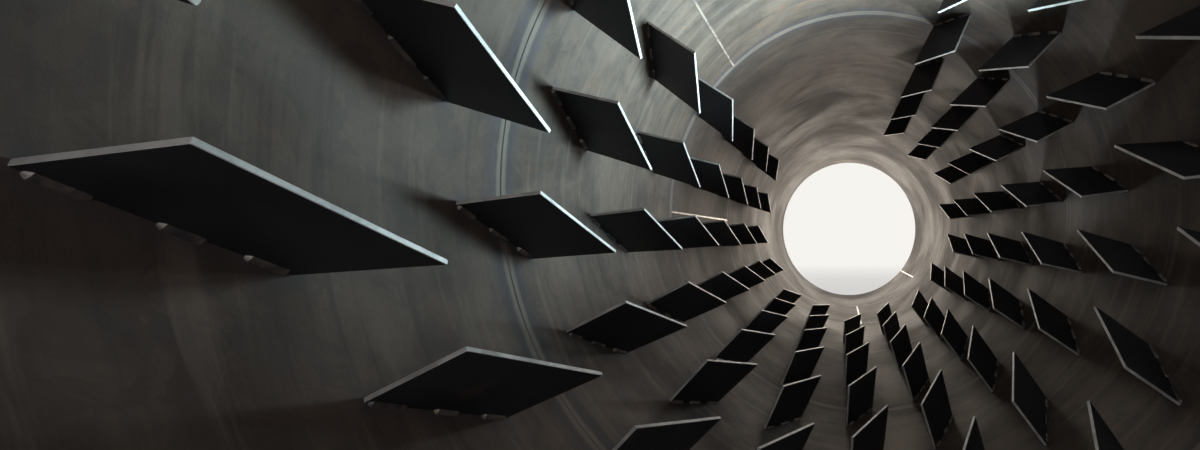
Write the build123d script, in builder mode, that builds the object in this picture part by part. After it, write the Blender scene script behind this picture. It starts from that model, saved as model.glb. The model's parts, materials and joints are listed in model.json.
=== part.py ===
from build123d import *
import os
from math import ceil, cos, pi, radians, sin, tan

os.makedirs("parts", exist_ok=True)

# Rotary wood chip dryer: a drum of rolled courses with lifting flights inside, carried by two
# riding rings on support rollers, and turned through a girth gear on bolted mounting plates.
# Millimetres. +Z is up, +Y runs along the drum from the inlet to the outlet, ground is Z = 0.

# Drum shell
shell_inner_radius = 1100.0
shell_thickness = 14.0
course_length = 1600.0
course_count = 6

# Lifting flights: flat plates on edge, skewed to the drum's length, each second row half a pitch on
flight_root_length = 355.0
flight_top_length = 390.0
flight_near_height = 210.0
flight_far_height = 235.0
flight_thickness = 10.0
flight_skew = 24.0
flight_root_cut = 5.0
flight_pitch = 750.0
flight_start = 290.0
bare_outlet_length = 3700.0
row_positions = 18
row_count = 15
first_row_angle = -123.1

# Stiffening rings at the two ends of the shell
end_ring_height = 76.0
end_ring_thickness = 20.0

# Riding rings, and the pads that carry them on the shell
ring_inset = 2000.0
ring_thickness = 115.0
ring_width = 200.0
ring_chamfer = 6.0
pad_count = 16
pad_height = 36.0
pad_width = 110.0
pad_end_length = 50.0
pad_lug_height = 34.0
pad_lug_clearance = 2.0

# Girth gear: it has the fewest teeth that leave the stand-off between the shell and the plates
gear_module = 18.0
gear_standoff = 110.0
gear_face_width = 180.0
gear_offset = 750.0
gear_pressure_angle = 20.0
gear_rim = 37.5
gear_flange_height = 47.0
gear_flange_thickness = 35.0
gear_rib_thickness = 12.0
gear_rib_setback = 4.0

# Plates between the girth gear and the shell, and the stools they are bolted to
plate_count = 12
plate_width = 160.0
plate_overhang = 60.0
plate_thickness = 14.0
plate_hole_radius = 11.0
plate_hole_edge = 26.0
stool_wall = 12.0
stool_top = 16.0

# Support rollers and their shafts
roller_angle = 30.0
roller_radius = 200.0
roller_width = 240.0
roller_rim = 45.0
roller_recess = 50.0
roller_chamfer = 5.0
shaft_radius = 60.0
shoulder_length = 12.0
journal_radius = 50.0
journal_end = 25.0

# Bearing housings
housing_radius = 105.0
housing_width = 110.0
housing_centre_height = 190.0
housing_ear_length = 300.0
housing_ear_height = 70.0
housing_foot_length = 380.0
housing_foot_height = 34.0
housing_gap = 53.0
housing_bolt_radius = 14.0
housing_bolt_spacing = 290.0

# Base frames
frame_length = 2300.0
beam_height = 280.0
beam_width = 200.0
beam_web = 12.0
beam_flange = 18.0
seat_length = 460.0
seat_thickness = 25.0
stiffener_thickness = 12.0
stiffener_spacing = 300.0
tie_width = 160.0
tie_height = 160.0
tie_wall = 10.0
foot_length = 130.0
foot_thickness = 25.0
anchor_radius = 14.0
anchor_inset = 60.0

# Running clearances, and the fit-up gap of a welded or bolted curved seat
roller_clearance = 0.3
journal_clearance = 0.08
seat_gap = 0.1

# Worked out from the sizes above
shell_outer_radius = shell_inner_radius + shell_thickness
drum_length = course_length * course_count
flight_reach = flight_root_length * cos(radians(flight_skew))
inlet_y = -drum_length / 2
outlet_y = drum_length / 2
ring_inner_radius = shell_outer_radius + pad_height + seat_gap
ring_outer_radius = ring_inner_radius + ring_thickness
ring_positions = {"inlet": inlet_y + ring_inset, "outlet": outlet_y - ring_inset}
roller_centre_distance = ring_outer_radius + roller_clearance + roller_radius
roller_x = roller_centre_distance * sin(radians(roller_angle))
roller_z = beam_height + seat_thickness + housing_centre_height
axis_height = roller_z + roller_centre_distance * cos(radians(roller_angle))
housing_offset = roller_width / 2 + housing_gap + housing_width / 2
gear_y = ring_positions["inlet"] + gear_offset
gear_root_depth = 1.25 * gear_module
gear_depth = plate_thickness + gear_flange_height + gear_rim + gear_root_depth
gear_teeth = ceil(2 * (shell_outer_radius + gear_standoff + gear_depth) / gear_module)


def view_plane(y, angle=0.0):
    """Plane across the drum at y, seen from the inlet, turned by angle about the drum's axis."""
    turn = radians(angle)
    return Plane(origin=(0, y, axis_height), x_dir=(cos(turn), 0, sin(turn)), z_dir=(0, -1, 0))


def save(piece, name):
    """Writes a finished piece under its node's name."""
    piece.part.label = name
    export_step(piece.part, f"parts/{name}.step")


# Shell: rolled courses, end to end
for number in range(course_count):
    course_y = inlet_y + number * course_length
    with BuildPart() as course:
        with BuildSketch(view_plane(course_y)):
            Circle(shell_outer_radius)
            Circle(shell_inner_radius, mode=Mode.SUBTRACT)
        extrude(amount=-course_length)
    save(course, f"shell_course_{number + 1}")


# End rings: flat bar rolled on edge round each mouth, flush with the shell's end
for end, ring_y in {"inlet": inlet_y, "outlet": outlet_y - end_ring_thickness}.items():
    with BuildPart() as end_ring:
        with BuildSketch(view_plane(ring_y)):
            Circle(shell_outer_radius + seat_gap + end_ring_height)
            Circle(shell_outer_radius + seat_gap, mode=Mode.SUBTRACT)
        extrude(amount=-end_ring_thickness)
    save(end_ring, f"end_ring_{end}")


def flight_plane(y, angle):
    """Plane of a flight whose root's middle is at y and angle, with its Y axis up from the shell."""
    turn = radians(angle)
    skew = radians(flight_skew)
    root = (shell_inner_radius * sin(turn), y, axis_height - shell_inner_radius * cos(turn))
    along = (sin(skew) * cos(turn), cos(skew), sin(skew) * sin(turn))
    normal = (cos(skew) * cos(turn), -sin(skew), cos(skew) * sin(turn))
    return Plane(origin=root, x_dir=along, z_dir=normal)


# Flights: each root is cut to the curve of the shell, and the far end leans over past it
near_end = -flight_root_length / 2
flight_outline = [
    (near_end, -flight_root_cut),
    (near_end, flight_near_height),
    (near_end + flight_top_length, flight_far_height),
    (near_end + flight_root_length, 0),
    (near_end + flight_root_length, -flight_root_cut),
]
for row in range(row_count):
    row_angle = first_row_angle + row * 360.0 / row_positions
    stagger = flight_pitch / 2 if row % 2 == 0 else 0.0
    row_start = inlet_y + flight_start + stagger
    row_room = outlet_y - bare_outlet_length - row_start - flight_reach
    middles = [
        row_start + flight_reach / 2 + number * flight_pitch
        for number in range(int(row_room // flight_pitch) + 1)
    ]
    with BuildPart() as flight_row:
        with BuildSketch(*[flight_plane(middle, row_angle) for middle in middles]):
            with BuildLine():
                Polyline(*flight_outline, close=True)
            make_face()
        extrude(amount=flight_thickness / 2, both=True)
        with BuildSketch(view_plane(inlet_y)):
            Circle(shell_inner_radius)
        extrude(amount=-drum_length, mode=Mode.INTERSECT)
    save(flight_row, f"flight_row_{row + 1:02d}")


# Riding rings
for end, ring_y in ring_positions.items():
    with BuildPart() as riding_ring:
        with BuildSketch(view_plane(ring_y - ring_width / 2)):
            Circle(ring_outer_radius)
            Circle(ring_inner_radius, mode=Mode.SUBTRACT)
        extrude(amount=-ring_width)
        rims = riding_ring.edges().filter_by(GeomType.CIRCLE).sort_by(SortBy.RADIUS)[-2:]
        chamfer(rims, length=ring_chamfer)
    save(riding_ring, f"riding_ring_{end}")


# Ring pads: bars along the shell under each ring, with a lug at either side of it
pad_inner_radius = shell_outer_radius + seat_gap / 2
pad_outer_radius = ring_inner_radius - seat_gap / 2
pad_reach = ring_width / 2 + pad_lug_clearance
for end, ring_y in ring_positions.items():
    with BuildPart() as ring_pads:
        with BuildSketch(view_plane(ring_y - pad_reach - pad_end_length)):
            with PolarLocations(shell_outer_radius, pad_count):
                Rectangle(2 * pad_height, pad_width)
            Circle(pad_outer_radius, mode=Mode.INTERSECT)
            Circle(pad_inner_radius, mode=Mode.SUBTRACT)
        extrude(amount=-2 * (pad_reach + pad_end_length))
        with BuildSketch(
            view_plane(ring_y - pad_reach - pad_end_length), view_plane(ring_y + pad_reach)
        ):
            with PolarLocations(shell_outer_radius + pad_height, pad_count):
                Rectangle(2 * pad_lug_height, pad_width)
            Circle(pad_inner_radius, mode=Mode.SUBTRACT)
        extrude(amount=-pad_end_length)
    save(ring_pads, f"ring_pads_{end}")


# Girth gear: straight-flanked teeth with round roots on a rim with two inner flanges
pitch_radius = gear_module * gear_teeth / 2
tip_radius = pitch_radius + gear_module
root_radius = pitch_radius - gear_root_depth
flank_foot_radius = pitch_radius - 0.9 * gear_module
tooth_step = 2 * pi / gear_teeth
flank_slope = tan(radians(gear_pressure_angle))
pitch_half_angle = tooth_step / 4


def flank_half_angle(radius):
    """Half the angle that a tooth takes up at this radius."""
    return pitch_half_angle - (radius - pitch_radius) * flank_slope / pitch_radius


def gear_point(radius, angle):
    """Point of the gear's outline, tooth tips starting straight up."""
    return (radius * sin(angle), radius * cos(angle))


groove_radius = root_radius - gear_rim
flange_inner_radius = groove_radius - gear_flange_height
gear_start_y = gear_y - gear_face_width / 2
rib_depth = gear_flange_height - gear_rib_setback + gear_rim / 2
rib_middle = flange_inner_radius + gear_rib_setback + rib_depth / 2
with BuildPart() as girth_gear:
    with BuildSketch(view_plane(gear_start_y)):
        with BuildLine():
            for tooth in range(gear_teeth):
                centre = tooth * tooth_step
                tip = flank_half_angle(tip_radius)
                foot = flank_half_angle(flank_foot_radius)
                next_foot = centre + tooth_step - foot
                Line(gear_point(flank_foot_radius, centre - foot), gear_point(tip_radius, centre - tip))
                Line(gear_point(tip_radius, centre - tip), gear_point(tip_radius, centre + tip))
                Line(gear_point(tip_radius, centre + tip), gear_point(flank_foot_radius, centre + foot))
                ThreePointArc(
                    gear_point(flank_foot_radius, centre + foot),
                    gear_point(root_radius, centre + tooth_step / 2),
                    gear_point(flank_foot_radius, next_foot),
                )
        make_face()
        Circle(flange_inner_radius, mode=Mode.SUBTRACT)
    extrude(amount=-gear_face_width)
    with BuildSketch(view_plane(gear_start_y + gear_flange_thickness)):
        Circle(groove_radius)
    extrude(amount=-(gear_face_width - 2 * gear_flange_thickness), mode=Mode.SUBTRACT)
    with BuildSketch(view_plane(gear_start_y)):
        with PolarLocations(flange_inner_radius - plate_thickness / 2, plate_count):
            Rectangle(plate_thickness, plate_width + 2 * seat_gap)
    extrude(amount=-gear_face_width, mode=Mode.SUBTRACT)
    with BuildSketch(view_plane(gear_start_y + gear_flange_thickness)):
        with PolarLocations(rib_middle, plate_count, start_angle=180 / plate_count):
            Rectangle(rib_depth, gear_rib_thickness)
    extrude(amount=-(gear_face_width - 2 * gear_flange_thickness))
save(girth_gear, "girth_gear")


# Mounting plates: flat, across the gear's two flanges, bolted to stools beyond both sides
plate_length = gear_face_width + 2 * plate_overhang
plate_inner = flange_inner_radius - plate_thickness
hole_spacing_across = plate_width - 2 * plate_hole_edge
hole_spacing_along = plate_length - 2 * plate_hole_edge


def plate_plane(number, radius):
    """Plane square to the radius through plate number, at this distance from the drum's axis."""
    turn = 2 * pi * number / plate_count
    out = Vector(cos(turn), 0, sin(turn))
    origin = Vector(0, gear_y, axis_height) + out * radius
    return Plane(origin=origin, x_dir=(-sin(turn), 0, cos(turn)), z_dir=out)


with BuildPart() as mounting_plates:
    with BuildSketch(*[plate_plane(number, plate_inner) for number in range(plate_count)]):
        Rectangle(plate_width, plate_length)
        with GridLocations(hole_spacing_across, hole_spacing_along, 2, 2):
            Circle(plate_hole_radius, mode=Mode.SUBTRACT)
    extrude(amount=plate_thickness)
save(mounting_plates, "gear_mounting_plates")


# Stools: a top and two walls on the shell under each end of each plate
stool_length = plate_overhang - seat_gap
stool_height = plate_inner - shell_inner_radius
stool_middle = shell_inner_radius + stool_height / 2
with BuildPart() as stools:
    with BuildSketch(
        view_plane(gear_y - plate_length / 2),
        view_plane(gear_y + plate_length / 2 - stool_length),
    ):
        with PolarLocations(stool_middle, plate_count):
            Rectangle(stool_height, plate_width)
        with PolarLocations(stool_middle - stool_top, plate_count):
            Rectangle(stool_height, plate_width - 2 * stool_wall, mode=Mode.SUBTRACT)
        Circle(shell_outer_radius + seat_gap / 2, mode=Mode.SUBTRACT)
    extrude(amount=-stool_length)
    with BuildSketch(*[plate_plane(number, plate_inner) for number in range(plate_count)]):
        with GridLocations(hole_spacing_across, hole_spacing_along, 2, 2):
            Circle(plate_hole_radius)
    extrude(amount=-2 * stool_top, mode=Mode.SUBTRACT)
save(stools, "gear_plate_stools")


# Support rollers, their shafts and bearing housings, and the base frame of each station
shaft_half_length = housing_offset + housing_width / 2 + journal_end
shoulder_reach = roller_width / 2 + shoulder_length
bore_radius = journal_radius + journal_clearance
tie_xs = [-frame_length / 2 + tie_width / 2, 0.0, frame_length / 2 - tie_width / 2]
beam_gap = 2 * housing_offset - beam_width


def roller_plane(x, y):
    """Plane across a roller's axis at y."""
    return Plane(origin=(x, y, roller_z), x_dir=(1, 0, 0), z_dir=(0, -1, 0))


def make_roller(name, x, y):
    """Solid tread and hub with a recess in each side, bored for its shaft."""
    with BuildPart() as roller:
        with BuildSketch(roller_plane(x, y - roller_width / 2)):
            Circle(roller_radius)
            Circle(shaft_radius + seat_gap, mode=Mode.SUBTRACT)
        extrude(amount=-roller_width)
        with BuildSketch(
            roller_plane(x, y - roller_width / 2),
            roller_plane(x, y + roller_width / 2 - roller_recess),
        ):
            Circle(roller_radius - roller_rim)
            Circle(shaft_radius + roller_rim, mode=Mode.SUBTRACT)
        extrude(amount=-roller_recess, mode=Mode.SUBTRACT)
        rims = roller.edges().filter_by(GeomType.CIRCLE).sort_by(SortBy.RADIUS)[-2:]
        chamfer(rims, length=roller_chamfer)
    save(roller, name)


def make_shaft(name, x, y):
    """Thick where the roller sits, with a thinner journal through each bearing."""
    with BuildPart() as shaft:
        with BuildSketch(roller_plane(x, y - shaft_half_length)):
            Circle(journal_radius)
        extrude(amount=-2 * shaft_half_length)
        with BuildSketch(roller_plane(x, y - shoulder_reach)):
            Circle(shaft_radius)
        extrude(amount=-2 * shoulder_reach)
        ends = shaft.edges().filter_by(GeomType.CIRCLE).group_by(Axis.Y)
        chamfer(ends[0] + ends[-1], length=roller_chamfer)
    save(shaft, name)


def make_housings(name, x, y):
    """Two pillow blocks, one at each side of the roller."""
    foot_middle = -housing_centre_height + housing_foot_height / 2
    with BuildPart() as housings:
        with BuildSketch(
            roller_plane(x, y - housing_offset - housing_width / 2),
            roller_plane(x, y + housing_offset - housing_width / 2),
        ):
            Circle(housing_radius)
            with Locations((0, -housing_centre_height / 2)):
                Rectangle(2 * housing_radius, housing_centre_height)
            Rectangle(housing_ear_length, housing_ear_height)
            with Locations((0, foot_middle)):
                Rectangle(housing_foot_length, housing_foot_height)
            Circle(bore_radius, mode=Mode.SUBTRACT)
        extrude(amount=-housing_width)
        with BuildSketch(Plane.XY.offset(roller_z - housing_centre_height)):
            with Locations((x, y)):
                with GridLocations(housing_bolt_spacing, 2 * housing_offset, 2, 2):
                    Circle(housing_bolt_radius)
        extrude(amount=housing_foot_height, mode=Mode.SUBTRACT)
    save(housings, name)


def make_frame(name, y):
    """Two beams across the drum, tied together, with seats for the housings and anchor feet."""
    with BuildPart() as frame:
        with BuildSketch(
            Plane(origin=(-frame_length / 2, y, 0), x_dir=(0, 1, 0), z_dir=(1, 0, 0))
        ):
            for side in (-housing_offset, housing_offset):
                with Locations((side, beam_height / 2)):
                    Rectangle(beam_web, beam_height)
                with Locations((side, beam_flange / 2), (side, beam_height - beam_flange / 2)):
                    Rectangle(beam_width, beam_flange)
        extrude(amount=frame_length)
        with BuildSketch(Plane.XY.offset(beam_height)):
            for seat_x in (-roller_x, roller_x):
                for side in (-housing_offset, housing_offset):
                    with Locations((seat_x, y + side)):
                        Rectangle(seat_length, beam_width)
        extrude(amount=seat_thickness)
        with BuildSketch(Plane.XY.offset(beam_flange)):
            for seat_x in (-roller_x, roller_x):
                with Locations((seat_x, y)):
                    with GridLocations(stiffener_spacing, 2 * housing_offset, 2, 2):
                        Rectangle(stiffener_thickness, beam_width)
        extrude(amount=beam_height - 2 * beam_flange)
        tie_middle = beam_height / 2
        with BuildSketch(Plane(origin=(0, y - housing_offset, 0), x_dir=(1, 0, 0), z_dir=(0, -1, 0))):
            for tie_x in tie_xs:
                with Locations((tie_x, tie_middle)):
                    Rectangle(tie_width, tie_height)
                    Rectangle(tie_width - 2 * tie_wall, tie_height - 2 * tie_wall, mode=Mode.SUBTRACT)
        extrude(amount=-2 * housing_offset)
        with BuildSketch(Plane.XY):
            for foot_side in (-1, 1):
                for side in (-housing_offset, housing_offset):
                    with Locations((foot_side * (frame_length + foot_length) / 2, y + side)):
                        Rectangle(foot_length, beam_width)
                    with Locations((foot_side * (frame_length / 2 + anchor_inset), y + side)):
                        Circle(anchor_radius, mode=Mode.SUBTRACT)
        extrude(amount=foot_thickness)
    save(frame, name)


for end, station_y in ring_positions.items():
    for side, roller_side_x in {"left": -roller_x, "right": roller_x}.items():
        make_roller(f"roller_{end}_{side}", roller_side_x, station_y)
        make_shaft(f"roller_shaft_{end}_{side}", roller_side_x, station_y)
        make_housings(f"bearing_housings_{end}_{side}", roller_side_x, station_y)
    make_frame(f"base_frame_{end}", station_y)
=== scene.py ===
"""Looks of the rotary dryer drum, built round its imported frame.

Metres, +Z up, +Y along the drum from the inlet to the outlet. Angles round the drum are in radians
from straight down, growing towards +X, as seen from the inlet.
"""
import json
import random
from itertools import product
from math import acos, ceil, cos, pi, radians, sin, sqrt, tan

import bmesh
import bpy
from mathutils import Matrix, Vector, noise


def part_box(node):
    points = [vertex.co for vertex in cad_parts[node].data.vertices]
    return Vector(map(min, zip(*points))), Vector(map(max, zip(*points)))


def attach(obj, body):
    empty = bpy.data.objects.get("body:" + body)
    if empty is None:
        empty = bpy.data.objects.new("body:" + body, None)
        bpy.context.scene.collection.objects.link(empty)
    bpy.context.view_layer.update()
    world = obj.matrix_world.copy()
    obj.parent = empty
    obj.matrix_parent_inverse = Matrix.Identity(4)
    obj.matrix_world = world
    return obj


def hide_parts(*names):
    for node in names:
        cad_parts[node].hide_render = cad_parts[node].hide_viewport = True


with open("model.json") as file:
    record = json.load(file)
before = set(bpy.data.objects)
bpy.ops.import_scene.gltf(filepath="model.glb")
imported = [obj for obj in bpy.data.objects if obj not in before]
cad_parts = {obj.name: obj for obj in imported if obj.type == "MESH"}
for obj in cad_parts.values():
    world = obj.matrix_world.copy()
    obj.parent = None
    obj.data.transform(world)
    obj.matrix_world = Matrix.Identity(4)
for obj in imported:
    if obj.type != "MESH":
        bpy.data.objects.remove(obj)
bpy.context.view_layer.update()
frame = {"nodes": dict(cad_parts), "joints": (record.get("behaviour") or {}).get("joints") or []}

# Places read from the frame
joint_places = {joint["name"]: Vector(joint["pos_m"]) for joint in frame["joints"]}
AXIS_HEIGHT = joint_places["drum_spin"].z
COURSES = sorted(name for name in frame["nodes"] if name.startswith("shell_course_"))
FLIGHT_ROWS = sorted(name for name in frame["nodes"] if name.startswith("flight_row_"))
ENDS = ("inlet", "outlet")
SIDES = ("left", "right")
INLET_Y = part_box(COURSES[0])[0].y
OUTLET_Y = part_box(COURSES[-1])[1].y
COURSE_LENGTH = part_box(COURSES[0])[1].y - INLET_Y
SHELL_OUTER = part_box(COURSES[0])[1].x
AXIS = Vector((0, 0, AXIS_HEIGHT))
ACROSS = Vector((1, 0, 0))
ALONG = Vector((0, 1, 0))
UP = Vector((0, 0, 1))
SQUARE = ((-1, -1), (1, -1), (1, 1), (-1, 1))

# Shell. A bead's size is its width and its height.
SHELL_THICKNESS = 0.014
SHELL_INNER = SHELL_OUTER - SHELL_THICKNESS
SHELL_SEGMENTS = 240
SHELL_STEPS = 12
SHELL_WAVE = 0.0012
SEAM_BEVEL = 0.003
RING_BEAD = (0.02, 0.0028)
RING_BEAD_STEPS = 520
LONG_BEAD = (0.016, 0.0022)
LONG_BEAD_STEP = 0.01
LONG_BEAD_INSET = 0.004
LONG_SEAM_STEP = radians(47)
LONG_SEAM_START = radians(176)
BEAD_RIPPLE = 0.12
# How much each course is darkened, inlet first: partly each plate's own tone, partly painted shade bands
# round the drum
COURSE_TONE_AND_SHADE = (0.15, 0.0, 0.5, 0.2, 0.05, 0.25)

# Flights: flat plates on edge, skewed to the drum's length
FLIGHT_ROOT_LENGTH = 0.355
FLIGHT_TOP_LENGTH = 0.39
FLIGHT_NEAR_HEIGHT = 0.21
FLIGHT_FAR_HEIGHT = 0.235
FLIGHT_THICKNESS = 0.01
FLIGHT_SKEW = radians(24)
FLIGHT_PITCH = 0.75
FLIGHT_START = 0.29
FLIGHT_EDGE = 0.001
FLIGHT_REACH = FLIGHT_ROOT_LENGTH * cos(FLIGHT_SKEW)
FIRST_ROW = radians(-123.1)
ROW_STEP = radians(20)

# How far a flight is off its true place and shape, at most
SLIDE = 0.003
LEAN = 0.015
TWIST = 0.01
SHORTFALL = 0.004
BUCKLE = 0.004

# Stitch welds at a flight's root. Spots and their scatter are shares of its length.
STITCH_SPOTS = (-0.36, 0.02, 0.37)
STITCH_SCATTER = 0.03
STITCH_LEGS = (0.007, 0.0092)
STITCH_HALF_LENGTHS = (0.03, 0.046)
STITCH_STEP = 0.006

# Girth gear
GEAR_MODULE = 0.018
GEAR_TEETH = 150
GEAR_PRESSURE = radians(20)
GEAR_RIM = 0.0375
GEAR_EDGE = 0.0012
GEAR_FLANGE_HEIGHT = 0.047
GEAR_FLANGE_THICKNESS = 0.035
GEAR_FLANGE_EDGE = 0.0015
GEAR_GROOVE_CORNER = 0.008
GEAR_SIDE_LIP = 0.006
GEAR_RIB_THICKNESS = 0.012
GEAR_RIB_SETBACK = 0.004
GEAR_RIB_SUNK = 0.002
GEAR_PITCH_RADIUS = GEAR_MODULE * GEAR_TEETH / 2
GEAR_FOOT_RADIUS = GEAR_PITCH_RADIUS - 0.9 * GEAR_MODULE
GEAR_ROOT_RADIUS = GEAR_PITCH_RADIUS - 1.25 * GEAR_MODULE
GEAR_RING_POINTS = 3 * GEAR_TEETH
GEAR_LOW, GEAR_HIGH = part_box("girth_gear")
GEAR_Y = (GEAR_LOW.y + GEAR_HIGH.y) / 2

# The gear's mounting plates
PLATE_COUNT = 12
PLATE_WIDTH = 0.16
PLATE_THICKNESS = 0.014
PLATE_HOLE_EDGE = 0.026
PLATE_SEAT_MARGIN = 0.012
PLATE_OUTER = GEAR_ROOT_RADIUS - GEAR_RIM - GEAR_FLANGE_HEIGHT
PLATES_LOW, PLATES_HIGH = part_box("gear_mounting_plates")
STOOL_TOP = 0.016

# Rings: depth, inner chamfer, (back, down) places round an outer corner, segments. Blocks under them.
END_RING = (0.076, 0.001, ((0.0022, 0), (0.0006, 0.0006), (0, 0.0022)), 300)
END_RING_THICKNESS = 0.02
RIDING_RING = (0.115, 0.003, ((0.0075, 0), (0.006, 0.0006), (0.0006, 0.006), (0, 0.0075)), 360)
PAD_COUNT = 16
PAD_WIDTH = 0.11

# Upper halves of the sections of turned parts, as (radius, height)
ROLLER_PROFILE = [(0.0601, 0.1185), (0.0616, 0.12), (0.102, 0.12), (0.105, 0.117), (0.105, 0.078),
                  (0.1075, 0.0725), (0.113, 0.07), (0.147, 0.07), (0.1525, 0.0725), (0.155, 0.078),
                  (0.155, 0.118), (0.157, 0.12), (0.194, 0.12), (0.1955, 0.1194), (0.1994, 0.1155),
                  (0.2, 0.114)]
COVER_FACE = 0.009
COVER_PROFILE = [(0.0512, -0.001), (0.088, -0.001), (0.088, 0.007), (0.086, COVER_FACE), (0.066, COVER_FACE),
                 (0.064, 0.013), (0.0525, 0.013), (0.0512, 0.012)]
NIPPLE_PROFILE = [(0.0045, 0), (0.0045, 0.006), (0.0028, 0.008), (0.0042, 0.011), (0.0042, 0.013),
                  (0.0022, 0.0155)]

# Roller stations
HOUSING_WIDTH = 0.11
HOUSING_RADIUS = 0.105
HOUSING_EAR_X = 0.128
HOUSING_EAR_HEIGHT = 0.07
GASKET_SIZE = (0.074, HOUSING_WIDTH + 0.0016, 0.0016)
GASKET_INSET = 0.012
FOOT_BOLT_X = 0.145
FOOT_HEIGHT = 0.034
BEAM_HEIGHT = 0.28
BEAM_WIDTH = 0.2
BEAM_WEB = 0.012
BEAM_FLANGE = 0.018
STIFFENER_X = 0.15
STIFFENER = 0.012
TIE_WIDTH = 0.16
TIE_INSET = 0.21
FOOT_PLATE = 0.025
ANCHOR_EDGE = 0.07

# Fasteners. A screw is its width across flats and its head's height.
PLATE_BOLT = 0.02
PLATE_BOLT_REACH = 0.009
CAP_STUD = 0.02
CAP_STUD_Y = 0.026
CAP_STUD_REACH = 0.01
CAP_STUD_HEAD = (0.03, 0.013)
FOOT_BOLT = 0.024
ANCHOR = 0.024
ANCHOR_REACH = 0.026
ANCHOR_WASHER = (0.062, 0.062, 0.008)
COVER_SCREW = (0.013, 0.0055)
COVER_SCREW_COUNT = 6
COVER_SCREW_RADIUS = 0.077
NIPPLE_BASE = (0.014, 0.009)
THREAD_PITCH = 0.003
THREAD_DEPTH = 0.0012
THREAD_END = 0.002
WASHER_EDGE = 0.0006

# Fillet welds: legs, lengths of a ripple, how deep their edges lie, and how far they stop short
FILLET = 0.008
THIN_FILLET = 0.007
FINE_STEP = 0.005
FILLET_STEP = 0.007
FRAME_STEP = 0.009
WELD_SUNK = 0.0012
WELD_MARGIN = 0.004
END_RING_FILLET_STEPS = 480

# Camera: just inside the mouth, below and left of the axis
PHOTO_WIDTH = 1200
PHOTO_HEIGHT = 450
FOCAL_PIXELS = 575
VANISHING_POINT = (839.0, 237.6)
CAMERA_PLACE = Vector((-0.17, INLET_Y + 0.02, AXIS_HEIGHT - 0.144))
SENSOR_WIDTH = 36.0

# Stage
FLOOR_REACH = 400.0
FLOOR_FADE = (9.0, 32.0)
BACKGROUND = (0.92, 0.9, 0.86)
SKY_COLOUR = (0.98, 0.98, 1.0)
SKY_STRENGTH = 0.72

# Soft square lamps: name, place, target, size, power, colour, and spread in degrees
LAMPS = (
    ("key", (-7, -7, 9), (0, 0, 1.5), 5, 420, (1, 0.98, 0.95), 180),
    ("fill", (8, 3, 7), (0, 0, 1.5), 6, 300, (0.97, 0.99, 1), 180),
    ("mouth", (0.1, INLET_Y - 1.2, AXIS_HEIGHT + 0.3), AXIS, 1.6, 5, (1, 1, 1), 90),
    ("inside", (0.6, INLET_Y + 4.4, AXIS_HEIGHT - 0.34), (-0.35, INLET_Y + 3.2, AXIS_HEIGHT + 0.9),
     0.25, 16, (0.9, 0.98, 1), 130),
    ("ceiling", (0.4, INLET_Y + 2.6, AXIS_HEIGHT + 0.05), (-0.55, INLET_Y + 2.2, AXIS_HEIGHT + 1.0),
     0.4, 56, (0.66, 0.93, 1), 125),
    ("far", (0, OUTLET_Y + 1.0, AXIS_HEIGHT + 0.2), AXIS, 1.7, 24, (1, 0.88, 0.74), 70),
)


def circle(count, start=0.0):
    """Angles in even steps all round."""
    return [start + 2 * pi * k / count for k in range(count)]


def evenly(low, high, inset, count):
    """Places in even steps from low to high, both drawn in by inset."""
    return [low + inset + (high - low - 2 * inset) * k / count for k in range(count + 1)]


def drum_point(radius, angle, y):
    """Point at this radius from the drum's axis."""
    return Vector((radius * sin(angle), y, AXIS_HEIGHT - radius * cos(angle)))


def spoke(angle):
    """Direction out from the drum's axis, and the direction round it."""
    return Vector((sin(angle), 0, -cos(angle))), Vector((cos(angle), 0, sin(angle)))


def flight_places(angle, middle):
    """Gives a function that turns (along, up, through) from a flight's root into a point."""
    out, round_dir = spoke(angle)
    along_dir = round_dir * sin(FLIGHT_SKEW) + ALONG * cos(FLIGHT_SKEW)
    through_dir = round_dir * cos(FLIGHT_SKEW) - ALONG * sin(FLIGHT_SKEW)
    root = drum_point(SHELL_INNER, angle, middle)
    return lambda along, up, through: root + along_dir * along - out * up + through_dir * through


def square_to(axis):
    """Two directions square to axis and to each other."""
    first = axis.cross(UP if abs(axis.z) < 0.9 else ACROSS).normalized()
    return first, axis.cross(first).normalized()


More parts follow.
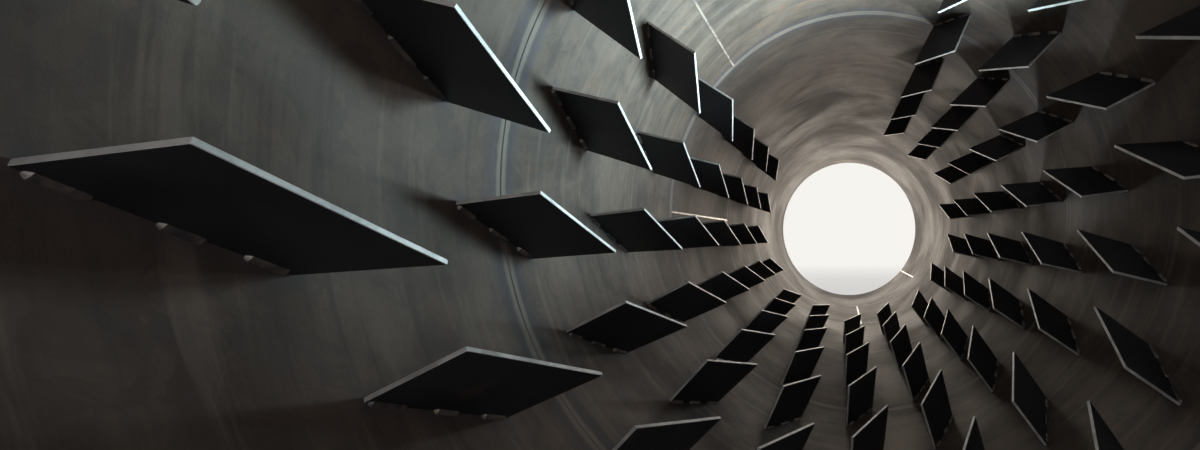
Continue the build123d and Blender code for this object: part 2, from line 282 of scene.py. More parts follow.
class Mesh:
    """Points, faces, and the index of each face's material."""

    def __init__(self):
        self.points = []
        self.faces = []
        self.materials = []

    def face(self, corners, material=0):
        self.faces.append(corners)
        self.materials.append(material)

    def loft(self, rings, looped=False, cap=True, material=0):
        """Skins rings, and joins up or caps the first and last. Returns the number of its first point."""
        count = len(rings[0])
        start = len(self.points)
        for ring in rings:
            self.points.extend(ring)
        for step in range(len(rings) if looped else len(rings) - 1):
            near = start + step * count
            far = start + (step + 1) % len(rings) * count
            for k in range(count):
                after = (k + 1) % count
                self.face([near + k, near + after, far + after, far + k], material)
        if cap and not looped:
            last = start + (len(rings) - 1) * count
            self.face([start + k for k in reversed(range(count))], material)
            self.face([last + k for k in range(count)], material)
        return start

    def lathe(self, place, axis, profile, segments, looped=False):
        """Turns a profile of (radius, height) points round axis."""
        first, second = square_to(axis)
        self.loft([[place + axis * height + first * (radius * cos(turn)) + second * (radius * sin(turn))
                    for turn in circle(segments)] for radius, height in profile], looped)

    def block(self, centre, size, x_dir, bevel, material=0):
        """A block along the drum, with all its edges cut off by bevel."""
        z_dir = x_dir.cross(ALONG)
        half_x, half_y, half_z = (length / 2 for length in size)
        rings = []
        for z, inset in ((-half_z, bevel), (bevel - half_z, 0), (half_z - bevel, 0), (half_z, bevel)):
            x, y = half_x - inset, half_y - inset
            corners = [(-x, bevel - y), (bevel - x, -y), (x - bevel, -y), (x, bevel - y),
                       (x, y - bevel), (x - bevel, y), (bevel - x, y), (-x, y - bevel)]
            rings.append([centre + x_dir * px + ALONG * py + z_dir * z for px, py in corners])
        self.loft(rings, material=material)

    def hexagon(self, place, axis, width, height, turn=0.0):
        """A bolt head or nut of this width across flats, with its top corners turned off."""
        first, second = square_to(axis)
        rings = [[], [], [], []]
        turned = width * 0.475
        for angle in circle(24):
            corner = width / 2 / cos((angle % (pi / 3)) - pi / 6)
            drop = (corner - turned) * tan(radians(30))
            shape = [(turned, 0.0), (corner, min(drop, height / 3) * 0.5), (corner, height - drop),
                     (turned, height)]
            out = first * cos(angle + turn) + second * sin(angle + turn)
            for ring, (radius, rise) in zip(rings, shape):
                ring.append(place + out * radius + axis * rise)
        self.loft(rings)


def add_object(name, data):
    """Puts a mesh, lamp or camera in the scene."""
    made = bpy.data.objects.new(name, data)
    bpy.context.scene.collection.objects.link(made)
    return made


def make_piece(name, mesh, materials, body, replaced=(), sharp=32):
    """A piece that rides on a body and stands for the replaced CAD nodes. sharp is in degrees."""
    data = bpy.data.meshes.new(name)
    data.from_pydata([tuple(point) for point in mesh.points], [], mesh.faces)
    for polygon, index in zip(data.polygons, mesh.materials):
        polygon.material_index = index
        polygon.use_smooth = True
    for material in materials:
        data.materials.append(material)
    shape = bmesh.new()
    shape.from_mesh(data)
    bmesh.ops.recalc_face_normals(shape, faces=shape.faces)
    shape.to_mesh(data)
    shape.free()
    data.set_sharp_from_angle(angle=radians(sharp))
    piece = add_object(name, data)
    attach(piece, body)
    if replaced:
        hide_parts(*replaced)


def finish_node(node, material, bevel):
    """Gives a CAD node its material and slightly rounded edges."""
    piece = frame["nodes"][node]
    for holder in piece.material_slots:
        holder.material = material
    joining = piece.modifiers.new("joined", "WELD")
    joining.merge_threshold = 0.00002
    rounding = piece.modifiers.new("edge", "BEVEL")
    rounding.width = bevel
    rounding.segments = 2
    rounding.limit_method = "ANGLE"
    rounding.angle_limit = radians(40)
    rounding.harden_normals = True


# Materials

class Nodes:
    """Adds nodes to a tree."""

    def __init__(self, tree):
        self.tree = tree

    def feed(self, value, target):
        """Links a socket, or sets a plain value, where a colour is a tuple of three."""
        if isinstance(value, bpy.types.NodeSocket):
            self.tree.links.new(value, target)
        else:
            target.default_value = (*value, 1.0) if target.type == "RGBA" else value

    def node(self, kind, inputs, **settings):
        """A node with these settings, whose inputs are fed by name or number."""
        made = self.tree.nodes.new(kind)
        for key, value in settings.items():
            setattr(made, key, value)
        for key, value in inputs.items():
            self.feed(value, made.inputs[key])
        return made

    def maths(self, operation, first, second=0.0):
        return self.node("ShaderNodeMath", {0: first, 1: second}, operation=operation).outputs[0]

    def plus(self, first, second):
        return self.maths("ADD", first, second)

    def minus(self, first, second):
        return self.maths("SUBTRACT", first, second)

    def times(self, first, second):
        return self.maths("MULTIPLY", first, second)

    def seen_directly(self):
        """1 for a camera, glossy or transmission ray, and 0 for one that lights a surface."""
        rays = self.node("ShaderNodeLightPath", {}).outputs
        either = self.maths("MAXIMUM", rays["Is Camera Ray"], rays["Is Glossy Ray"])
        return self.maths("MAXIMUM", either, rays["Is Transmission Ray"])

    def show(self, share, first, second, output):
        """Sends a blend of two shaders to the tree's output."""
        blend = self.node("ShaderNodeMixShader", {0: share, 1: first.outputs[0], 2: second.outputs[0]})
        self.feed(blend.outputs[0], self.tree.nodes[output].inputs["Surface"])


class Shader(Nodes):
    """Wires one material, and holds the colour that is mixed so far."""

    def __init__(self, name, metallic, roughness, colour):
        self.material = bpy.data.materials.new(name)
        self.material.use_nodes = True
        super().__init__(self.material.node_tree)
        self.surface = self.tree.nodes["Principled BSDF"]
        self.feed(metallic, self.surface.inputs["Metallic"])
        self.feed(roughness, self.surface.inputs["Roughness"])
        self.colour = colour
        self.coordinates = self.node("ShaderNodeTexCoord", {}).outputs
        self.place = self.coordinates["Object"]

    def noise(self, scale, detail, roughness, stretch=(1, 1, 1), place=None, distortion=0.0):
        """Noise from 0 to 1, finer along the axes with more stretch."""
        mapped = self.node("ShaderNodeMapping", {"Vector": place or self.place, "Scale": stretch})
        settings = {"Vector": mapped.outputs[0], "Scale": scale, "Detail": detail, "Roughness": roughness,
                    "Distortion": distortion}
        return self.node("ShaderNodeTexNoise", settings).outputs["Fac"]

    def ramp(self, value, low, high, first=0.0, last=1.0):
        """Maps value from low..high to first..last, smoothly and clamped."""
        limits = {"Value": value, "From Min": low, "From Max": high, "To Min": first, "To Max": last}
        return self.node("ShaderNodeMapRange", limits, interpolation_type="SMOOTHSTEP").outputs["Result"]

    def steps(self, value, levels):
        """One level for each equal part of value's range from 0 to 1."""
        made = self.node("ShaderNodeValToRGB", {0: value})
        made.color_ramp.interpolation = "CONSTANT"
        elements = made.color_ramp.elements
        while len(elements) < len(levels):
            elements.new(1.0)
        for number, level in enumerate(levels):
            elements[number].position = number / len(levels)
            elements[number].color = (level, level, level, 1)
        return made.outputs[0]

    def mix(self, share, first, second):
        colours = {"Factor": share, "A": first, "B": second}
        return self.node("ShaderNodeMix", colours, data_type="RGBA").outputs["Result"]

    def cover(self, colour, share):
        """Mixes this share of a colour in."""
        self.colour = self.mix(share, self.colour, colour)

    def tint(self, colour, *limits):
        """Mixes a colour in, by a share that a ramp with these limits gives."""
        self.cover(colour, self.ramp(*limits))

    def offsets(self, centre):
        """x and z from the line along the drum through centre, and y."""
        x, y, z = self.node("ShaderNodeSeparateXYZ", {0: self.place}).outputs
        return self.minus(x, centre.x), self.minus(z, centre.z), y

    def round_line(self, centre, scale):
        """Radius from the line along the drum through centre, and fine grooves round it."""
        x, z, y = self.offsets(centre)
        radius = self.maths("SQRT", self.plus(self.times(x, x), self.times(z, z)))
        ringed = self.node("ShaderNodeCombineXYZ", {0: radius, 1: y}).outputs[0]
        return radius, self.noise(scale, 2, 0.5, place=ringed)

    def finish(self, height=None, depth=0.0, roughness=None):
        """Wires the colour, and the roughness and bump if there are any."""
        self.feed(self.colour, self.surface.inputs["Base Color"])
        if roughness is not None:
            self.feed(roughness, self.surface.inputs["Roughness"])
        if height is not None:
            bump = self.node("ShaderNodeBump", {"Height": height, "Distance": depth, "Strength": 1.0})
            self.feed(bump.outputs[0], self.surface.inputs["Normal"])
        return self.material


def flight_heat(s, angle, y, wobble):
    """1 along the flights' roots, fading out over the band that their welds heated."""
    turns = s.maths("DIVIDE", s.minus(angle, FIRST_ROW), ROW_STEP)
    turns = s.maths("FLOORED_MODULO", turns, 2 * pi / ROW_STEP)
    row = s.maths("ROUND", turns)
    sideways = s.times(s.minus(turns, row), ROW_STEP * SHELL_INNER)
    stagger = s.times(s.maths("FLOORED_MODULO", s.plus(row, 1.0), 2.0), FLIGHT_PITCH / 2)
    offset = s.minus(s.minus(y, INLET_Y + FLIGHT_START + FLIGHT_REACH / 2), stagger)
    pitches = s.maths("DIVIDE", offset, FLIGHT_PITCH)
    number = s.maths("ROUND", pitches)
    lengthwise = s.times(s.minus(pitches, number), FLIGHT_PITCH)
    aside = s.minus(s.times(sideways, cos(FLIGHT_SKEW)), s.times(lengthwise, sin(FLIGHT_SKEW)))
    aside = s.maths("ABSOLUTE", s.plus(aside, s.times(wobble, 0.6)))
    along = s.plus(s.times(sideways, sin(FLIGHT_SKEW)), s.times(lengthwise, cos(FLIGHT_SKEW)))
    half = FLIGHT_ROOT_LENGTH / 2
    ends = s.ramp(s.maths("ABSOLUTE", along), half, half + 0.03, 1.0, 0.0)
    rows = s.maths("LESS_THAN", row, len(FLIGHT_ROWS) - 0.5)
    last = s.maths("LESS_THAN", y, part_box(FLIGHT_ROWS[1])[1].y + 0.03)
    counted = s.times(s.times(s.maths("GREATER_THAN", number, -0.5), rows), last)
    return s.times(s.times(s.ramp(aside, 0.012, 0.045, 1.0, 0.0), ends), counted)


def rolled_plate_material():
    """Brown-grey hot-rolled plate: scale patches, rolling streaks round it, tinted seams, rust bloom, and
    each course darkened in turn, partly its own tone and partly painted shade bands.
    """
    s = Shader("rolled_plate", 0.05, 0.7, (0.036, 0.025, 0.02))
    s.feed(0.25, s.surface.inputs["Specular IOR Level"])
    x, z, y = s.offsets(AXIS)
    patches = s.noise(1.3, 5, 0.6, distortion=0.6)
    streaks = s.noise(2.0, 4, 0.5, stretch=(0.35, 2.4, 0.35), distortion=0.3)
    grain = s.noise(60, 4, 0.6)
    rust = s.noise(4.5, 8, 0.68, distortion=0.4)
    scratches = s.noise(26, 5, 0.7, stretch=(0.1, 2.5, 0.1))
    flakes = s.noise(8.5, 7, 0.66, distortion=0.8)
    bands = s.noise(10, 4, 0.6, stretch=(0.13, 2.0, 0.13), distortion=0.15)
    s.tint((0.088, 0.062, 0.047), patches, 0.35, 0.65)
    s.tint((0.165, 0.117, 0.086), streaks, 0.45, 0.75, 0.0, 0.3)
    s.tint((0.026, 0.022, 0.022), flakes, 0.53, 0.58, 0.0, 0.32)
    s.tint((0.13, 0.088, 0.062), flakes, 0.4, 0.47, 0.22, 0.0)
    s.tint((0.155, 0.118, 0.092), bands, 0.53, 0.68, 0.0, 0.42)
    s.tint((0.024, 0.018, 0.015), bands, 0.32, 0.45, 0.5, 0.0)
    s.tint((0.055, 0.046, 0.042), grain, 0.3, 0.75, 0.0, 0.35)
    s.tint((0.23, 0.19, 0.165), scratches, 0.66, 0.78, 0.0, 0.22)
    s.tint((0.15, 0.068, 0.034), rust, 0.6, 0.74, 0.0, 0.5)
    from_inlet = s.minus(y, INLET_Y)
    courses = s.maths("DIVIDE", from_inlet, OUTLET_Y - INLET_Y)
    # Each course darkened by its listed share: partly plate tone, partly painted shade bands
    s.cover((0.036, 0.024, 0.019), s.steps(courses, COURSE_TONE_AND_SHADE))
    wobble = s.times(s.minus(s.noise(7, 3, 0.55), 0.5), 0.02)
    seam = s.plus(s.maths("PINGPONG", from_inlet, COURSE_LENGTH / 2), wobble)
    heated = s.times(s.ramp(seam, 0.024, 0.034), s.ramp(seam, 0.04, 0.085, 1.0, 0.0))
    s.cover((0.034, 0.033, 0.046), s.times(heated, 0.6))
    s.cover((0.2, 0.175, 0.155), s.times(s.ramp(seam, 0.016, 0.028, 1.0, 0.0), 0.45))
    angle = s.maths("ARCTAN2", x, s.times(z, -1.0))
    s.cover((0.04, 0.032, 0.036), s.times(flight_heat(s, angle, y, wobble), 0.6))
    height = s.plus(s.times(grain, 0.6), s.times(s.noise(240, 2, 0.5), 0.25))
    height = s.plus(height, s.times(patches, 1.5))
    return s.finish(height, 0.0012, s.ramp(patches, 0.3, 0.7, 0.86, 0.68))


def dark_plate_material(name, dark, light, rust_amount=0.25):
    """Plate as delivered: smooth mill scale with faint bloom, handling marks and a little rust."""
    s = Shader(name, 0.35, 0.5, dark)
    cloud = s.noise(2.2, 5, 0.6, distortion=0.5)
    marks = s.noise(9, 8, 0.7, stretch=(1, 0.15, 1))
    s.tint(light, cloud, 0.35, 0.7)
    s.tint((0.17, 0.165, 0.165), marks, 0.66, 0.8, 0.0, 0.35)
    s.tint((0.16, 0.06, 0.03), s.noise(7, 8, 0.7), 0.64, 0.76, 0.0, rust_amount)
    height = s.plus(s.times(s.noise(120, 3, 0.6), 0.4), s.times(marks, 0.4))
    return s.finish(height, 0.0006, s.ramp(cloud, 0.3, 0.7, 0.36, 0.6))


def cut_edge_material():
    """Pale flame-cut edge with drag lines across the plate."""
    s = Shader("cut_edge", 0.4, 0.5, (0.27, 0.262, 0.255))
    s.tint((0.46, 0.445, 0.43), s.noise(14, 4, 0.6), 0.35, 0.65)
    return s.finish(s.noise(150, 3, 0.6), 0.0004)


def weld_material():
    """Weld bead: grey-brown with blue and straw tints and slag specks."""
    s = Shader("weld_bead", 0.7, 0.42, (0.075, 0.068, 0.078))
    speck = s.noise(300, 2, 0.6)
    s.tint((0.21, 0.18, 0.155), s.noise(18, 4, 0.6), 0.35, 0.6)
    s.tint((0.05, 0.04, 0.035), speck, 0.62, 0.7, 0.0, 0.6)
    return s.finish(speck, 0.0004)


def gear_material():
    """Cut gear: dull brown-grey flanks, darker in the roots, a paler turned face, oily film, and painted
    shade on the groove and the surfaces under the rim.
    """
    s = Shader("gear_steel", 0.7, 0.45, (0.135, 0.118, 0.108))
    radius, grooves = s.round_line(AXIS, 400)
    film = s.noise(3.0, 5, 0.6, distortion=0.4)
    speck = s.noise(45, 6, 0.65)
    tip = GEAR_HIGH.x
    root = tip - 2.25 * GEAR_MODULE
    s.tint((0.235, 0.21, 0.19), film, 0.35, 0.65)
    s.tint((0.06, 0.05, 0.045), radius, root + 0.002, root + 0.022, 0.75, 0.0)
    s.tint((0.42, 0.39, 0.36), radius, tip - 0.004, tip - 0.001, 0.0, 0.6)
    turn = s.node("ShaderNodeSeparateXYZ", {0: s.coordinates["Normal"]})
    facing = s.ramp(s.maths("ABSOLUTE", turn.outputs[1]), 0.8, 0.95)
    face = s.mix(s.ramp(film, 0.3, 0.7), (0.3, 0.285, 0.27), (0.42, 0.405, 0.39))
    face = s.mix(s.ramp(speck, 0.6, 0.72, 0.0, 0.4), face, (0.17, 0.12, 0.09))
    s.cover(face, facing)
    # Painted shade: the groove and the surfaces under the rim are darkened, except faces along the axis
    painted_shade_under_rim = s.ramp(radius, root - 0.045, root - 0.03, 1.0, 0.0)
    s.cover((0.045, 0.043, 0.045), s.times(painted_shade_under_rim, s.minus(1.0, facing)))
    height = s.plus(s.times(grooves, 0.5), s.times(speck, 0.5))
    return s.finish(height, 0.0004, s.ramp(film, 0.3, 0.7, 0.36, 0.52))


def turned_material(name, centre, tread_radius):
    """Turned steel: bright rolled tread, duller sides with fine rings and a film of oil and dust."""
    s = Shader(name, 0.85, 0.35, (0.17, 0.155, 0.145))
    radius, grooves = s.round_line(centre, 260)
    film = s.noise(5, 5, 0.65, distortion=0.5)
    s.tint((0.3, 0.28, 0.265), film, 0.35, 0.65)
    s.tint((0.15, 0.075, 0.04), s.noise(40, 6, 0.7), 0.6, 0.74, 0.0, 0.6)
    tread = s.ramp(radius, tread_radius - 0.0035, tread_radius - 0.0015)
    s.cover(s.mix(s.ramp(grooves, 0.3, 0.7), (0.3, 0.29, 0.28), (0.4, 0.39, 0.38)), tread)
    rough = s.plus(s.ramp(film, 0.3, 0.7, 0.38, 0.52), s.times(tread, -0.04))
    return s.finish(grooves, 0.0003, rough)


def painted_material(name, dark, light):
    """Sprayed paint over steel: orange peel, dust, and chips at random."""
    s = Shader(name, 0.0, 0.5, dark)
    dust = s.noise(2.5, 5, 0.6, distortion=0.3)
    chips = s.noise(16, 8, 0.75)
    s.tint(light, dust, 0.35, 0.7)
    s.tint((0.2, 0.13, 0.09), chips, 0.7, 0.74, 0.0, 0.85)
    height = s.plus(s.times(s.noise(220, 2, 0.5), 0.3), s.ramp(chips, 0.7, 0.74, 0.5, 0.0))
    return s.finish(height, 0.0005, s.ramp(dust, 0.3, 0.7, 0.42, 0.62))


def zinc_material():
    """Dull plated fasteners."""
    s = Shader("zinc_fasteners", 0.8, 0.4, (0.36, 0.355, 0.34))
    spangle = s.noise(60, 4, 0.6)
    s.tint((0.56, 0.555, 0.54), spangle, 0.35, 0.7)
    return s.finish(spangle, 0.0002)


ROLLED_PLATE = rolled_plate_material()
FLIGHT_PLATE = dark_plate_material("flight_plate", (0.016, 0.017, 0.022), (0.034, 0.034, 0.04))
PLATE_STEEL = dark_plate_material("mounting_plate", (0.055, 0.042, 0.038), (0.105, 0.082, 0.072), 0.5)
CUT_EDGE = cut_edge_material()
WELD = weld_material()
GEAR_STEEL = gear_material()
ZINC = zinc_material()
FRAME_PAINT = painted_material("frame_paint", (0.055, 0.06, 0.066), (0.105, 0.11, 0.116))
GASKET = dark_plate_material("gasket", (0.012, 0.012, 0.013), (0.025, 0.025, 0.027), 0.0)
HOUSING_PAINT = painted_material("housing_paint", (0.06, 0.085, 0.105), (0.1, 0.13, 0.155))


# Shell courses

def shell_point(radius, angle, y):
    """Point on the rolled plate, which stands a little off its true circle."""
    wave = noise.noise(Vector((cos(angle) * 1.7, sin(angle) * 1.7, y * 0.9)))
    return drum_point(radius + SHELL_WAVE * wave, angle, y)


def make_shell():
    """Each course is an open tube whose inner and outer edges are bevelled for the seam."""
    for name in COURSES:
        low, high = (corner.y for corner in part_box(name))
        steps = evenly(low, high, SEAM_BEVEL, SHELL_STEPS)
        section = [(SHELL_OUTER - SEAM_BEVEL, low)] + [(SHELL_OUTER, y) for y in steps]
        section += [(SHELL_OUTER - SEAM_BEVEL, high), (SHELL_INNER + SEAM_BEVEL, high)]
        section += [(SHELL_INNER, y) for y in reversed(steps)] + [(SHELL_INNER + SEAM_BEVEL, low)]
        mesh = Mesh()
        mesh.loft([[shell_point(radius, angle, y) for angle in circle(SHELL_SEGMENTS)]
                   for radius, y in section], looped=True)
        make_piece(f"{name}_plate", mesh, [ROLLED_PLATE], "drum", [name])


def bead(mesh, path, width, height, closed=False):
    """Weld bead along a path of (point, along, up) places, with a rippled, rounded cap."""
    rings = []
    for index, (point, along, up) in enumerate(path):
        aside = along.cross(up).normalized()
        swell = 1.0 + BEAD_RIPPLE * (0.5 if index % 2 else -0.5) + BEAD_RIPPLE * noise.noise(point * 37)
        end = 0.35 if not closed and index in (0, len(path) - 1) else 1.0
        ring = []
        for k in range(5):
            turn = pi * k / 4
            offset = aside * (cos(turn) * width / 2 * (0.9 + 0.1 * swell) * (0.6 + 0.4 * end))
            ring.append(point + offset + up * (sin(turn) * height * swell * end - height * 0.25))
        rings.append(ring)
    mesh.loft(rings, closed)


def make_seam_beads():
    """Caps of the ring seams and of each course's long seam, outside and inside."""
    mesh = Mesh()
    for name in COURSES[1:]:
        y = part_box(name)[0].y
        path = []
        for angle in circle(RING_BEAD_STEPS):
            out, round_dir = spoke(angle)
            path.append((shell_point(SHELL_OUTER, angle, y), -round_dir, out))
        bead(mesh, path, *RING_BEAD, closed=True)
    for number, name in enumerate(COURSES):
        low, high = (corner.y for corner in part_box(name))
        angle = LONG_SEAM_START + number * LONG_SEAM_STEP
        places = evenly(low, high, LONG_BEAD_INSET, int((high - low) / LONG_BEAD_STEP))
        for radius, side in ((SHELL_OUTER, 1), (SHELL_INNER, -1)):
            out = spoke(angle)[0] * side
            bead(mesh, [(shell_point(radius, angle, y), ALONG, out) for y in places], *LONG_BEAD)
    make_piece("shell_seam_beads", mesh, [WELD], "drum")


# Lifting flights

def root_rise(along, through):
    """How far the curved shell stands above the flat plane at the middle of a flight's root."""
    sideways = along * sin(FLIGHT_SKEW) + through * cos(FLIGHT_SKEW)
    return SHELL_INNER - sqrt(SHELL_INNER ** 2 - sideways ** 2)


def flight_ring(place, thickness, tip):
    """Section of a flight at place, from 0 near to 1 far, as (along, up, through) points."""
    root = (place - 0.5) * FLIGHT_ROOT_LENGTH
    top = place * FLIGHT_TOP_LENGTH - FLIGHT_ROOT_LENGTH / 2
    height = FLIGHT_NEAR_HEIGHT + place * (FLIGHT_FAR_HEIGHT - FLIGHT_NEAR_HEIGHT) - tip
    half = thickness / 2
    ring = []
    for side in (1, -1):
        low = root_rise(root, side * half)
        rise = height - low
        for up in (low, low + rise / 3, low + rise * 2 / 3, height - FLIGHT_EDGE, height):
            inset = FLIGHT_EDGE if up == height else 0.0
            ring.append((root + (top - root) * (up - low) / rise, up, side * (half - inset)))
    return ring[:5] + ring[:4:-1]


def add_flight(mesh, angle, middle, rng):
    """One flat plate with slightly uneven fit-up and pale cut edges."""
    point = flight_places(angle, middle)
    slide = rng.uniform(-SLIDE, SLIDE)
    lean = rng.uniform(-LEAN, LEAN)
    twist = rng.uniform(-TWIST, TWIST)
    tip = rng.uniform(0.0, SHORTFALL)
    ends = FLIGHT_EDGE / FLIGHT_TOP_LENGTH
    rings = []
    for station in (0.0, ends, 0.25, 0.5, 0.75, 1 - ends, 1.0):
        cut = FLIGHT_EDGE if station in (0.0, 1.0) else 0.0
        ring = []
        for along, up, through in flight_ring(station, FLIGHT_THICKNESS - 2 * cut, tip):
            through += up * (lean + twist * (station - 0.5) * 2)
            through += BUCKLE * up * noise.noise(Vector((station * 2, middle, angle)))
            ring.append(point(along + slide, up, through))
        rings.append(ring)
    count = len(rings[0])
    half = count // 2
    last = len(rings) - 1
    first_face = len(mesh.faces)
    first = mesh.loft(rings, cap=False)
    for step in range(last):
        for k in range(count):
            if step in (0, last - 1) or k in (half - 2, half - 1, half, count - 1):
                mesh.materials[first_face + step * count + k] = 1
    for base in (first, first + last * count):
        for k in range(half - 1):
            mesh.face([base + k, base + k + 1, base + count - 2 - k, base + count - 1 - k], 1)


def add_stitches(mesh, angle, middle, rng):
    """Fillet weld stitches at both sides of a flight's root."""
    point = flight_places(angle, middle)
    wall = FLIGHT_THICKNESS / 2 - WELD_SUNK / 2
    for side in (1, -1):
        for spot in STITCH_SPOTS:
            centre = (spot + rng.uniform(-STITCH_SCATTER, STITCH_SCATTER)) * FLIGHT_ROOT_LENGTH
            size = rng.uniform(*STITCH_LEGS)
            room = FLIGHT_ROOT_LENGTH / 2 - WELD_MARGIN - abs(centre)
            half = min(rng.uniform(*STITCH_HALF_LENGTHS), room)
            count = max(4, int(half * 2 / STITCH_STEP))
            rings = []
            for k in range(count + 1):
                along = centre - half + 2 * half * k / count
                leg = size * (0.45 if k in (0, count) else 1.0 + 0.1 * (k % 2) + 0.05 * rng.uniform(-1, 1))
                profile = [(wall, leg * 1.05), (wall + leg * 0.42, leg * 0.8),
                           (wall + leg * 0.8, leg * 0.42), (wall + leg * 1.1, -WELD_SUNK),
                           (wall, -WELD_SUNK)]
                rings.append([point(along, rise + root_rise(along, side * out), side * out)
                              for out, rise in profile])
            mesh.loft(rings)


def make_flights():
    """The rows of flights, each second row half a pitch on, and their welds."""
    rng = random.Random(7)
    welds = Mesh()
    for number, name in enumerate(FLIGHT_ROWS):
        angle = FIRST_ROW + number * ROW_STEP
        low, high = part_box(name)
        first = INLET_Y + FLIGHT_START + (0.0 if number % 2 else FLIGHT_PITCH / 2) + FLIGHT_REACH / 2
        count = round((high.y - low.y - FLIGHT_TOP_LENGTH) / FLIGHT_PITCH) + 1
        mesh = Mesh()
        for middle in (first + k * FLIGHT_PITCH for k in range(count)):
            add_flight(mesh, angle, middle, rng)
            add_stitches(welds, angle, middle, rng)
        make_piece(f"{name}_plates", mesh, [FLIGHT_PLATE, CUT_EDGE], "drum", [name], sharp=25)
    make_piece("flight_welds", welds, [WELD], "drum")


# Girth gear

def involute(angle):
    return tan(angle) - angle


def tooth_half_angle(radius):
    """Half the angle that a tooth takes up at this radius, on an involute flank."""
    base = GEAR_PITCH_RADIUS * cos(GEAR_PRESSURE)
    return pi / (2 * GEAR_TEETH) + involute(GEAR_PRESSURE) - involute(acos(base / radius))


def gear_outline(cut, y):
    """Ring of points round the teeth, all drawn back by cut."""
    tip = GEAR_PITCH_RADIUS + GEAR_MODULE - cut
    foot = GEAR_FOOT_RADIUS - cut
    root = GEAR_ROOT_RADIUS - cut
    flank = [(foot + (tip - GEAR_EDGE - foot) * k / 4, 0.0) for k in range(5)] + [(tip, GEAR_EDGE)]
    half = [(radius, tooth_half_angle(radius) - (cut + back) / radius) for radius, back in flank]
    gap = 2 * pi / GEAR_TEETH - 2 * half[0][1]
    places = []
    for centre in circle(GEAR_TEETH):
        places += [(radius, centre - angle) for radius, angle in half]
        places += [(radius, centre + angle) for radius, angle in reversed(half)]
        for f in (0.2, 0.5, 0.8):
            radius = foot - (foot - root) * sqrt(1 - (2 * f - 1) ** 2)
            places.append((radius, centre + half[0][1] + gap * f))
    return [drum_point(radius, pi - angle, y) for radius, angle in places]


def seat_radius(angle, radius):
    """The gear's inner radius at this angle: flat where a mounting plate sits on it."""
    step = 2 * pi / PLATE_COUNT
    aside = (angle + step / 2) % step - step / 2
    if abs(radius * tan(aside)) > PLATE_WIDTH / 2 + PLATE_SEAT_MARGIN:
        return radius
    return radius / cos(aside)


def make_gear():
    """Toothed rim with involute flanks, two flanges, a deep groove between them, and ribs across it."""
    mesh = Mesh()
    half = (GEAR_HIGH.y - GEAR_LOW.y) / 2
    cut, edge, corner = GEAR_EDGE, GEAR_FLANGE_EDGE, GEAR_GROOVE_CORNER
    outlines = [gear_outline(back, GEAR_Y + y) for y, back in
                ((-half, cut), (cut - half, 0), (half - cut, 0), (half, cut))]
    mesh.loft(outlines, cap=False)
    groove = GEAR_ROOT_RADIUS - GEAR_RIM
    inner = PLATE_OUTER
    wall = half - GEAR_FLANGE_THICKNESS
    section = [(-half, GEAR_ROOT_RADIUS - GEAR_SIDE_LIP), (-half, inner + edge), (edge - half, inner),
               (-wall - edge, inner), (-wall, inner + edge), (-wall, groove - corner),
               (corner / 4 - wall, groove - corner / 4), (corner - wall, groove)]
    section += [(-y, radius) for y, radius in reversed(section)]
    rings = []
    for y, radius in section:
        ring = []
        for angle in circle(GEAR_RING_POINTS, -tooth_half_angle(GEAR_FOOT_RADIUS)):
            here = seat_radius(angle, radius) if radius < inner + 2 * edge else radius
            ring.append(drum_point(here, pi - angle, GEAR_Y + y))
        rings.append(ring)
    first = mesh.loft(rings, cap=False)
    outer = len(outlines[0])
    spacing = outer // GEAR_RING_POINTS
    last_outline = (len(outlines) - 1) * outer
    last_ring = first + (len(section) - 1) * GEAR_RING_POINTS
    for outline_start, ring_start in ((0, first), (last_outline, last_ring)):
        for k in range(GEAR_RING_POINTS):
            teeth = [outline_start + (k * spacing + offset) % outer for offset in range(spacing, -1, -1)]
            mesh.face([ring_start + k, ring_start + (k + 1) % GEAR_RING_POINTS] + teeth)
    low = inner + GEAR_RIB_SETBACK
    high = groove + GEAR_RIB_SUNK
    for angle in circle(PLATE_COUNT, pi / PLATE_COUNT):
        mesh.block(drum_point((low + high) / 2, angle, GEAR_Y),
                   (GEAR_RIB_THICKNESS, 2 * wall + GEAR_RIB_SUNK, high - low), -spoke(angle)[1], 0.001)
    make_piece("girth_gear_rim", mesh, [GEAR_STEEL], "drum", ["girth_gear"])


# Turned rings and rollers

def make_turned(name, node, body, centre, half, segments, material, sharp):
    """A ring or roller instead of its node, from the upper half of its section."""
    mesh = Mesh()
    section = [(radius, -height) for radius, height in reversed(half)] + half
    mesh.lathe(centre, ALONG, section, segments, looped=True)
    make_piece(name, mesh, [material], body, [node], sharp)


def make_ring(name, node, depth, chamfer, corner, segments, material=None):
    """Ring round the shell, with chamfered inner edges and rounded outer ones."""
    low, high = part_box(node)
    half = (high.y - low.y) / 2
    centre = Vector((0, (low.y + high.y) / 2, AXIS_HEIGHT))
    inner = high.x - depth
    profile = [(inner, half - chamfer), (inner + chamfer, half)]
    profile += [(high.x - back, half - down) for back, down in corner]
    material = material or turned_material(node, centre, high.x)
    make_turned(name, node, "drum", centre, profile, segments, material, 20)


def make_roller(end, side):
    """Forged roller with a dished recess in each side, on its shaft."""
    name = f"roller_{end}_{side}"
    place = joint_places[f"roller_spin_{end}_{side}"]
    material = turned_material(name, place, ROLLER_PROFILE[-1][0])
    make_turned(f"support_{name}", name, f"support_{name}", place, ROLLER_PROFILE, 160, material, 35)
    finish_node(f"roller_shaft_{end}_{side}", material, 0.0008)


# Welds and fasteners

